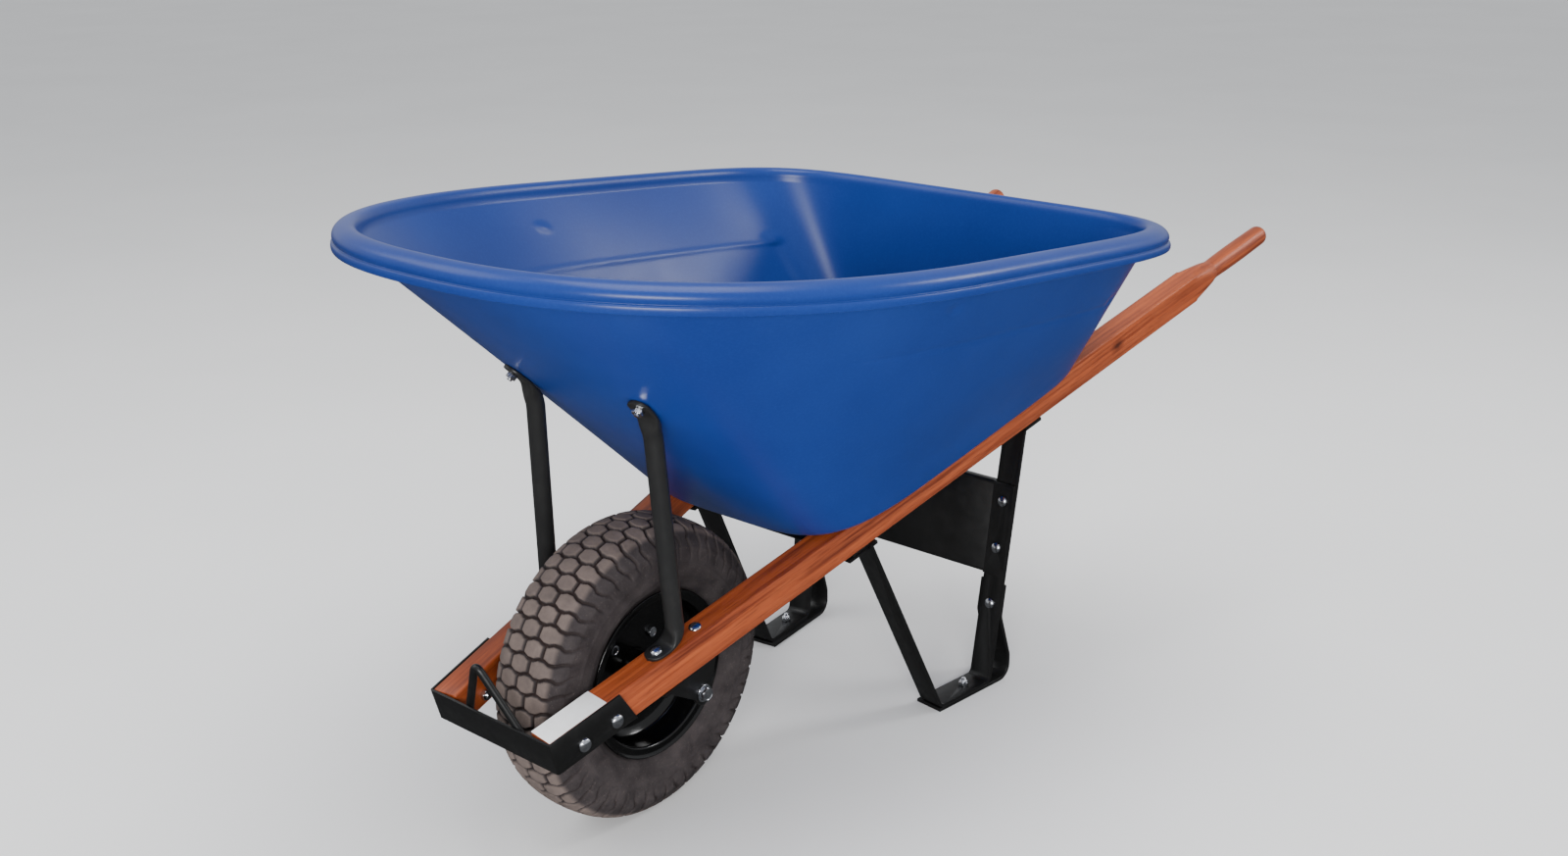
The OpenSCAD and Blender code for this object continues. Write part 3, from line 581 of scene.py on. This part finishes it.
def handle(side, name, mat):
    section = timber_section()
    reach = np.linalg.norm(section, axis=1)
    s = np.concatenate([
        [FRONT_S, FRONT_S + 0.4, FRONT_S + 1.5], np.linspace(FRONT_S + 40, SQUARE_S - 30, 40),
        np.linspace(SQUARE_S - 28, NECK_S, 50), np.linspace(NECK_S + 3, END_S - END_ROUND, 40)])
    rings = []
    for y in s:
        if y <= NECK_S:
            r = np.interp(y, *zip(*TAPER))
        else:
            f = (y - NECK_S) / (END_S - NECK_S)
            r = NECK_R + (GRIP_R - NECK_R) * math.sin(math.pi * f ** 0.8)
        ring = section * np.minimum(1, r / reach)[:, None]
        if y < FRONT_S + 1:
            ring = ring * (1 - FRONT_CHAMFER / HALF_W * (1 - (y - FRONT_S)))
        rings.append(np.stack([ring[:, 0], np.full(len(ring), y), ring[:, 1]], -1))
    last = rings[-1]
    tip = last[:, [0, 2]].mean(0)
    size = np.linalg.norm(last[:, [0, 2]] - tip, axis=1).max()
    for t in np.radians([15, 35, 55, 75, 90]):
        k = (size - END_ROUND * (1 - math.cos(t))) / size
        rings.append(np.stack([last[:, 0] * k, np.full(len(last), END_S - END_ROUND
                               + END_ROUND * math.sin(t)), last[:, 2] * k], -1))
    v, f = loft(rings)
    o = piece(name, placed(handle_frame(side), v), f, mat, "chassis", name, 40)
    grain = v * MM + np.array((side * GRAIN_APART, 0, 0))
    o.data.attributes.new("grain", "FLOAT_VECTOR", "POINT").data.foreach_set(
        "vector", grain.astype(np.float32).ravel())


# ----------------------------------------------------------- braces and tip bar

BRACE_A, BRACE_F = math.radians(-69.7), 0.597     # its bolt on the tray's wall
BRACE_BOLT_S = -56.0                              # its bolt on the handle
FOOT_T, FLAT_W, TUBE_R = 5.0, 30.0, 12.0
TUBE_FOOT, KNEE_S = (3.0, -24.0, HALF_H + 15), BRACE_BOLT_S + 16
FLAT_RUN, TUBE_DROP, TUBE_GAP = 22.0, 48.0, 3     # down the wall, and the tube off it
STRAIGHT, BEND_R = 22, 9
HAIR = 0.3                                        # clear of the wall
PINCH_TOP, PINCH_FOOT, PINCH_RUN = 36, 32, 26     # flat ends, and the way from flat to round
FINE_RUN = 90
BAR_R, TIP_FOOT_X, TIP_TOP, TIP_FOOT_Z = 5.0, 57.0, 100.0, -8


def brace(side, name, mat):
    """Tube with flattened ends, from a bolt on the tray's wall to one on the handle."""
    at = wall_point(np.array([BRACE_A]), BRACE_F, 0)[0]
    da = wall_point(np.array([BRACE_A + 0.01]), BRACE_F, 0)[0] - at
    df = wall_point(np.array([BRACE_A]), BRACE_F + 0.01, 0)[0] - at
    n = np.cross(da, df)
    n /= np.linalg.norm(n)
    down = np.array([n[0], n[1], 0]) * n[2] / math.hypot(n[0], n[1])
    down[2] = -math.hypot(n[0], n[1])
    down /= np.linalg.norm(down)
    m = handle_frame(1)
    foot = (placed(m, [TUBE_FOOT, (0, KNEE_S, HALF_H + FOOT_T / 2),
                       (0, BRACE_BOLT_S - FLAT_W / 2, HALF_H + FOOT_T / 2), (0, 0, 0), (1, 0, 0)])
            - np.array((0, AXLE.y, 0))) / MM
    tube_low, knee, toe = foot[:3]
    flat = at + n * (HAIR + FOOT_T / 2)
    tube_high = at + down * TUBE_DROP + n * (TUBE_R + TUBE_GAP)
    top = [flat - down * FLAT_W / 2, flat, flat + down * FLAT_RUN, tube_high]
    axis = (tube_low - tube_high) / np.linalg.norm(tube_low - tube_high)
    line = rounded(top + [tube_high + axis * STRAIGHT, tube_low - axis * STRAIGHT,
                          tube_low, knee, toe], BEND_R, 5, False)
    gaps = np.linalg.norm(np.diff(line, axis=0), axis=1)
    run = np.concatenate([[0], np.cumsum(gaps)])
    s = np.unique(np.concatenate([
        np.linspace(0, FINE_RUN, 60), np.linspace(FINE_RUN, run[-1] - FINE_RUN, 20),
        np.linspace(run[-1] - FINE_RUN, run[-1], 60)]))
    path = np.stack([np.interp(s, run, line[:, i]) for i in range(3)], -1)
    path[1:-1] = (path[:-2] + 2 * path[1:-1] + path[2:]) / 4
    across_top, across_low = np.cross(n, down), (foot[4] - foot[3])
    if across_top.dot(across_low) < 0:
        across_top = -across_top
    across_low = across_low / np.linalg.norm(across_low)
    sections, wide = [], []
    for d in s:
        e = run[-1] - d
        near = min(d, e)
        pinch = smoothstep((near - (PINCH_TOP if d < e else PINCH_FOOT)) / PINCH_RUN)
        w = FLAT_W / 2 * (1 - pinch) + TUBE_R * pinch
        h = FOOT_T / 2 * (1 - pinch) + TUBE_R * pinch
        tip = FLAT_W / 2 - near
        if tip > 0:
            w = max(0.8, math.sqrt(max(w * w - tip * tip, 0)))
        sections.append((w, h, 5 - 3 * pinch))
        t = np.clip(d / run[-1], 0, 1)
        wide.append(across_top * (1 - t) + across_low * t)
    v, f = swept(path, sections, wide)
    v = world(v) * np.array((side, 1, 1))
    piece(name, v, f, mat, "chassis", name, 50)


def tip_bar(mat):
    """Round rod bent to a peak, standing behind the nose guard."""
    y = FRONT_S * math.cos(HANDLE_YAW) - HALF_W * math.sin(HANDLE_YAW) + BAR_R
    path = rounded([(TIP_FOOT_X, y, TIP_FOOT_Z), (0, y, TIP_TOP), (-TIP_FOOT_X, y, TIP_FOOT_Z)],
                   17, 12, False)
    whole = []
    for p, q in zip(path[:-1], path[1:]):
        whole += [p, p + (q - p) * 0.5]
    whole.append(path[-1])
    v, f = swept(whole, [(BAR_R, BAR_R, 2)] * len(whole), [(0, 1, 0)] * len(whole))
    piece("tip_bar", placed(DECK, v), f, mat, "chassis", "tip_bar", 50)


# ---------------------------------------------------------------- fasteners

def solids(node):
    """The points of each separate solid in a CAD node."""
    bm = bmesh.new()
    bm.from_mesh(frame["nodes"][node].data)
    bmesh.ops.remove_doubles(bm, verts=bm.verts, dist=WELD)
    seen, out = set(), []
    for v in bm.verts:
        if v in seen:
            continue
        stack, group = [v], []
        seen.add(v)
        while stack:
            w = stack.pop()
            group.append(tuple(w.co))
            for e in w.link_edges:
                o = e.other_vert(w)
                if o not in seen:
                    seen.add(o)
                    stack.append(o)
        out.append(np.array(group) / MM)
    bm.free()
    return out


def bolt_of(points):
    """A bolt's place: Z along the shank to the head, the head's underside at 0."""
    centre = points.mean(0)
    axis = np.linalg.eigh(np.cov((points - centre).T))[1][:, 2]
    along = (points - centre) @ axis
    a, b = (points[np.abs(along - e) < 0.05].mean(0) for e in (along.min(), along.max()))
    axis = (b - a) / np.linalg.norm(b - a)
    along = (points - a) @ axis
    away = np.linalg.norm(points - a - np.outer(along, axis), axis=1)
    if away[along < along.max() * 0.5].max() > away[along > along.max() * 0.5].max():
        a, axis, along = b, -axis, along.max() - along
    shank = np.median(away[along < along.max() * 0.3])
    head = away > shank * 1.25
    corner = points[np.argmax(away)] - a
    x = corner - axis * corner.dot(axis)
    x /= np.linalg.norm(x)
    y = np.cross(axis, x)
    under = along[head].min()
    return {"at": a + axis * under, "x": x, "y": y, "z": axis, "tail": under,
            "shank": float(shank), "head": float(away.max()), "high": along.max() - under}


PITCH, THREAD_DEPTH = 1.25, 0.45


def thread(radius, start, stop):
    """Profile of a thread from start down to stop, as (r, z)."""
    out = []
    z = start
    root = radius - THREAD_DEPTH
    while z - PITCH > stop + 0.8:
        out += [(radius, z), (radius, z - PITCH * 0.2), (root, z - PITCH * 0.6)]
        z -= PITCH
    return out + [(root, stop + 0.7), (radius - 1.1, stop)]


def on_bolt(bolt, verts):
    """Millimetres in the bolt's frame to metres in the part's."""
    basis = np.stack([bolt["x"], bolt["y"], bolt["z"]])
    return (np.asarray(verts) @ basis + bolt["at"]) * MM


def domed_bolt(bolt):
    """Carriage bolt with a domed head."""
    r, h = bolt["head"], bolt["high"]
    profile = [(0.001, h)] + [(r * math.sin(t) * 0.985, h * (0.12 + 0.88 * math.cos(t)))
                              for t in np.radians(np.arange(8, 89, 8))]
    profile += [(r, h * 0.1), (r, h * 0.04), (r - 0.25, 0), (bolt["shank"], 0)]
    profile += thread(bolt["shank"], -bolt["tail"] * 0.35, -bolt["tail"])
    v, f = revolved(profile)
    return on_bolt(bolt, v), f


def hexagon(flat, levels, loop=False):
    """Six-sided prism with turned chamfers: flat is half its width across the flats, and
    levels are (z, largest radius)."""
    a = circle(72)
    hexed = flat / np.cos(a % (math.pi / 3) - math.pi / 6)
    return loft([level(np.minimum(hexed, r), a, z) for z, r in levels], loop)


def hex_bolt(bolt):
    """Bolt with a hexagon head, hollowed on top."""
    r, h = bolt["head"], bolt["high"]
    flat = r * math.cos(math.pi / 6)
    head = hexagon(flat, [(0, flat * 0.98), (0.5, flat), (0.9, r), (h - 1.3, r), (h - 0.2, flat),
                          (h, flat - 0.6), (h, flat - 1.6), (h - 0.5, flat - 2.2)])
    shank = revolved([(bolt["shank"], 1)] + thread(bolt["shank"], -1, -bolt["tail"]))
    v, f = joined([head, shank])
    return on_bolt(bolt, v), f


def nut_on(bolt, points):
    """A nut of the CAD nut's size and turn, bored for the bolt."""
    along = (points - bolt["at"]) @ bolt["z"]
    away = points - bolt["at"] - np.outer(along, bolt["z"])
    far = np.linalg.norm(away, axis=1)
    x = away[np.argmax(far)] / far.max()
    place = dict(bolt, x=x, y=np.cross(bolt["z"], x), at=bolt["at"] + bolt["z"] * along.min())
    r, h = float(far.max()), float(along.max() - along.min())
    flat, hole = r * math.cos(math.pi / 6), bolt["shank"] + 0.05
    v, f = hexagon(flat, [(0, hole), (0, hole + 0.5), (0, flat - 0.5), (0.15, flat), (0.9, r),
                          (h - 0.9, r), (h - 0.15, flat), (h, flat - 0.5), (h, hole + 0.5),
                          (h, hole)], True)
    return on_bolt(place, v), f


def washer_on(bolt, points):
    """A washer of the CAD washer's size, with eased rims."""
    along = (points - bolt["at"]) @ bolt["z"]
    far = np.linalg.norm(points - bolt["at"] - np.outer(along, bolt["z"]), axis=1)
    z0, z1, r0, r1 = along.min(), along.max(), far.min(), far.max()
    a = circle(64)
    v, f = loft([level(r, a, z) for r, z in (
        (r0, z0), (r1 - 0.3, z0), (r1, z0 + 0.3), (r1, z1 - 0.3), (r1 - 0.3, z1), (r0, z1))], True)
    return on_bolt(bolt, v), f


def nearest(bolts, points):
    """The bolt whose axis passes closest to the points."""
    centre = points.mean(0)

    def gap(b):
        d = centre - b["at"]
        return np.linalg.norm(d - b["z"] * d.dot(b["z"]))
    return min(bolts, key=gap)


def fasteners(bolt_node, make, body, mat, nuts=None, washers=None):
    """Bolts, nuts and washers with real heads and threads, one piece for each CAD node."""
    bolts = [bolt_of(p) for p in solids(bolt_node)]
    v, f = joined([make(b) for b in bolts])
    piece(bolt_node, v, f, mat, body, bolt_node, 30)
    for node, build in ((nuts, nut_on), (washers, washer_on)):
        if node:
            v, f = joined([build(nearest(bolts, p), p) for p in solids(node)])
            piece(node, v, f, mat, body, node, 30)


# -------------------------------------------------------------------- wheel

TYRE_R, TYRE_HALF = 201.0, 58.0
RIM_R, RIM_HALF, SEAT_R, BEAD_X = 114.0, 50.5, 101.0, 44.9
ROWS, BLOCK, SWING = 56, 31.0, 1.8            # rows of blocks, a block's width, the wave's reach
WAVE_SLOPE, ROW_GAP, SIDE_GAP = 2.2, 0.95, 0.85
GROOVE_HALF, SLOPE, TREAD_DEPTH = 1.25, 1.6, 5.2
# Distances from the crown's middle: the last groove between blocks, where the tread ends and
# how slowly, where the grooves start to lean, and where the side wall's colour starts.
OUTER_BLOCK = 40
TREAD_END, TREAD_FADE = 86, 34
LEAN_FROM, LEAN_RUN, LEAN = 58, 40, 0.35
SHOULDER, SHOULDER_RUN = 43, 10
STEPS = ROWS * 16
# Ridges round the side wall: radius, half width, height.
RIDGES = ((124, 1.6, 1.3), (131, 1.3, 1.0), (149, 1.2, 0.8), (171, 1.5, 1.2))
RIDGES_FROM, WALL_FALL = 70, 0.9
# The wall's tone, and how much darker the shoulder's grooves are painted: painted shade in the
# grooves.
WALL_SHADE, GROOVE_PAINTED_SHADE = 0.44, 0.3


def tread(u, v):
    """Block height, 0 in a groove to 1 on a block, by distances across and around, in mm.
    The blocks stand in staggered rows, and the grooves between rows step to and fro."""
    pitch = 2 * math.pi * TYRE_R / ROWS
    wave = np.clip(WAVE_SLOPE * (4 * np.abs(u / BLOCK - np.round(u / BLOCK)) - 1), -1, 1)

    def edge(row):
        return row * pitch + np.where(row % 2 == 0, 1, -1) * SWING * wave
    row = np.floor(v / pitch)
    row = row + (v > edge(row + 1)) - (v < edge(row))
    gap = np.minimum(v - edge(row), edge(row + 1) - v)
    across = u / BLOCK - (row % 2) / 2 + 0.5
    side = np.abs(across - np.round(across)) * BLOCK
    last = np.abs(np.round(across) - 0.5 + (row % 2) / 2) * BLOCK > OUTER_BLOCK
    side = np.where(last, 99, side)
    return smoothstep((np.minimum(gap * ROW_GAP, side * SIDE_GAP) - GROOVE_HALF) / SLOPE)


def tyre(mat):
    """The tyre's skin, with the tread's blocks and the side walls' ridges. Its attribute tread is
    the block height on the crown, and a shade near the wall's own beside it; the grooves there are
    darker, as painted shade."""
    half = smooth_line([
        (BEAD_X, SEAT_R + 2.8), (BEAD_X, RIM_R - 2), (BEAD_X + 5.5, RIM_R + 3.5),
        (TYRE_HALF - 2, RIM_R + 14), (TYRE_HALF, RIM_R + 27), (TYRE_HALF, RIM_R + 40),
        (TYRE_HALF - 2, RIM_R + 57), (TYRE_HALF - 8, TYRE_R - 18), (TYRE_HALF - 15, TYRE_R - 9),
        (TYRE_HALF - 26, TYRE_R - 3.5), (TYRE_HALF - 42, TYRE_R - 0.8), (0, TYRE_R)], 24)
    run = np.concatenate([[0], np.cumsum(np.linalg.norm(np.diff(half, axis=0), axis=1))])
    across = run[-1] - run
    u = np.concatenate([np.arange(0, 66, 1.3), np.arange(66, 92, 2.2),
                        np.arange(92, run[-1], 3.0)])
    x = np.interp(-u, -across, half[:, 0])
    r = np.interp(-u, -across, half[:, 1])
    x, r, u = (np.concatenate([q[:0:-1] * k, q]) for q, k in ((x, -1), (r, 1), (u, -1)))
    dx, dr = np.gradient(x), np.gradient(r)
    size = np.hypot(dx, dr)
    nx, nr = -dr / size, dx / size
    a = circle(STEPS)
    uu, vv = np.meshgrid(u, a * TYRE_R, indexing="ij")
    height = tread(uu, vv + np.sign(uu) * np.clip(np.abs(uu) - LEAN_FROM, 0, LEAN_RUN) * LEAN)
    reach = np.clip((TREAD_END - np.abs(uu)) / TREAD_FADE, 0, 1) ** 0.8
    drop = (1 - height) * TREAD_DEPTH * reach
    radius = np.repeat(r[:, None], STEPS, 1)
    ridges = sum(k * np.exp(-((radius - c) / w) ** 2) for c, w, k in RIDGES)
    side = np.abs(uu) > RIDGES_FROM
    push = np.where(side, -ridges, 0) + drop + WALL_FALL * side * (1 - reach)
    wall = smoothstep((np.abs(uu) - SHOULDER) / SHOULDER_RUN)
    xx = x[:, None] - nx[:, None] * push
    rr = radius - nr[:, None] * push
    core = [(-BEAD_X, SEAT_R + 2.8), (-BEAD_X + 2.5, SEAT_R + 0.1), (-BEAD_X + 11, SEAT_R + 0.1),
            (-BEAD_X + 10, RIM_R - 8), (-BEAD_X + 6, RIM_R + 2), (-TYRE_HALF + 11, RIM_R + 17),
            (-TYRE_HALF + 9, RIM_R + 33), (-TYRE_HALF + 11, RIM_R + 50), (-38, TYRE_R - 24),
            (-24, TYRE_R - 15), (0, TYRE_R - 13)]
    core = (core + [(-q[0], q[1]) for q in core[-2::-1]])[::-1]
    xx = np.concatenate([xx, [[q[0]] * STEPS for q in core]])
    rr = np.concatenate([rr, [[q[1]] * STEPS for q in core]])
    rings = np.stack([xx, rr * np.cos(a), rr * np.sin(a)], -1)
    v, f = loft(rings, loop=True)
    o = piece("tyre", v * MM + np.array(AXLE), f, mat, "wheel", "tyre", 80)
    # On the shoulder the grooves are painted darker than the wall: painted shade.
    shade = (1 - wall) * height + wall * (WALL_SHADE - GROOVE_PAINTED_SHADE * (1 - height) * reach)
    shade = np.concatenate([shade, np.full((len(core), STEPS), WALL_SHADE)])
    o.data.attributes.new("tread", "FLOAT", "POINT").data.foreach_set(
        "value", shade.astype(np.float32).ravel())


def rim_half(side, name, mat):
    hub, sheet, disc = 22.0, 2.2, 66.0
    section = [(0, hub), (0, disc + 4), (4, SEAT_R - 11), (10, SEAT_R - 2), (16, SEAT_R),
               (RIM_HALF - 7.5, SEAT_R), (RIM_HALF - 5.5, SEAT_R + 2), (RIM_HALF - 5.5, RIM_R - 4),
               (RIM_HALF - 4, RIM_R - 1), (RIM_HALF - 1.6, RIM_R), (RIM_HALF, RIM_R - 1.2),
               (RIM_HALF - 1.2, RIM_R - 2.8), (RIM_HALF - 2.8, RIM_R - 5.5),
               (RIM_HALF - 3.2, SEAT_R), (RIM_HALF - 5.5, SEAT_R - sheet),
               (18, SEAT_R - sheet - 0.2), (12.5, SEAT_R - 5), (6.8, SEAT_R - 13),
               (sheet + 0.6, disc + 3), (sheet, disc), (sheet, hub)]
    section = [(side * x, r) for x, r in rounded(section, 2.5, 3)]
    v, f = turned(section)
    piece(name, v, f, mat, "wheel", name, 50)


# ------------------------------------------------------------------ assembly

camera()

steel = painted_steel("black_steel", 0.34, 17, 0.35)
gloss = painted_steel("gloss_black_rim", 0.14, 5, 0.4)
# lit_brace_steel is the black steel painted lighter for the braces: painted light, as if their
# faces caught more light. It is not a different paint.
lit_brace_steel = painted_steel("lit_brace_steel", 0.34, 32, 0.35)
zinc, bright = zinc_plate(), turned_steel()
rubber, cap = dark_rubber("inner_rubber", 26, 0.6), dark_rubber("cap_plastic", 18, 0.45)
wood = timber()

tray(blue_plastic())
for label, sign in SIDES.items():
    handle(sign, label + "_handle", wood)
    brace(sign, label + "_tray_brace", lit_brace_steel)
    rim_half(sign, label + "_rim_half", gloss)
    for part in ("_leg", "_leg_shoe", "_axle_bracket"):
        softened(label + part, steel)
    softened(label + "_axle_spacer", bright, 0.4)
    softened(label + "_bearing", bright, 0.3, "wheel")
for part in ("nose_guard", "leg_cross_plate", "front_cross_strap"):
    softened(part, steel)
tip_bar(steel)
softened("handle_label", label_film(), 0.1)
softened("axle", bright, 0.4)
softened("hub_tube", gloss, 0.5, "wheel")
softened("valve_stem", rubber, 0.4, "wheel")
softened("valve_cap", cap, 0.5, "wheel")
tyre(tyre_rubber())
tube_materials = frame["nodes"]["inner_tube"].data.materials
tube_materials.clear()
tube_materials.append(rubber)

for name in ("guard", "brace_foot", "bracket", "brace_top"):
    fasteners(name + "_bolts", domed_bolt, "chassis", zinc, name + "_nuts")
fasteners("tray_bolts", domed_bolt, "chassis", zinc, "tray_bolt_nuts", "tray_bolt_washers")
for name in ("plate", "shoe"):
    fasteners(name + "_bolts", domed_bolt, "chassis", zinc, name + "_nuts")
fasteners("axle_end_bolts", hex_bolt, "chassis", zinc, None, "axle_end_washers")
fasteners("rim_bolts", hex_bolt, "wheel", zinc, "rim_nuts")


# --------------------------------------------------------------------- studio

FLOOR_REACH = 60
# Area lights round the tray: name, degrees round and up, distance, width, height, watts.
LIGHTS = (("front", 39, 16, 4.2, 2.1, 0.8, 150), ("behind", 141, 27, 3.6, 0.75, 0.8, 30),
          ("left", -50, 42, 4.0, 2.2, 2.2, 45), ("top", 60, 84, 3.2, 2.4, 2.4, 100))
# The sky fades to dark just below the horizon, so that gloss doesn't mirror a pale ground.
SKY_FADE = {"From Min": -0.14, "From Max": 0.02, "To Min": 0.1, "To Max": 0.72}
SKY_COLOUR = (0.95, 0.97, 1.0, 1)


def studio():
    mesh = bpy.data.meshes.new("studio_floor")
    k = FLOOR_REACH
    mesh.from_pydata([(-k, -k, 0), (k, -k, 0), (k, k, 0), (-k, k, 0)], [], [(0, 1, 2, 3)])
    floor = bpy.data.objects.new("studio_floor", mesh)
    bpy.context.collection.objects.link(floor)
    mesh.materials.append(floor_paint())
    floor.visible_glossy = False
    middle = Vector((0, AXLE.y + 0.35, 0.45))
    for name, az, el, far, wide, tall, watts in LIGHTS:
        a, e = math.radians(az), math.radians(el)
        away = Vector((math.sin(a) * math.cos(e), -math.cos(a) * math.cos(e), math.sin(e)))
        light = bpy.data.lights.new(name, "AREA")
        light.shape = "RECTANGLE"
        light.size, light.size_y = wide, tall
        light.energy = watts
        o = bpy.data.objects.new(name, light)
        bpy.context.collection.objects.link(o)
        o.location = middle + away * far
        o.rotation_euler = away.to_track_quat("Z", "Y").to_euler()
    sky = bpy.data.worlds.new("studio")
    bpy.context.scene.world = sky
    sky.use_nodes = True
    nodes, links = sky.node_tree.nodes, sky.node_tree.links
    height = nodes.new("ShaderNodeSeparateXYZ")
    links.new(nodes.new("ShaderNodeTexCoord").outputs["Generated"], height.inputs[0])
    fade = nodes.new("ShaderNodeMapRange")
    for socket, value in SKY_FADE.items():
        fade.inputs[socket].default_value = value
    links.new(height.outputs["Z"], fade.inputs["Value"])
    nodes["Background"].inputs["Color"].default_value = SKY_COLOUR
    links.new(fade.outputs["Result"], nodes["Background"].inputs["Strength"])


studio()
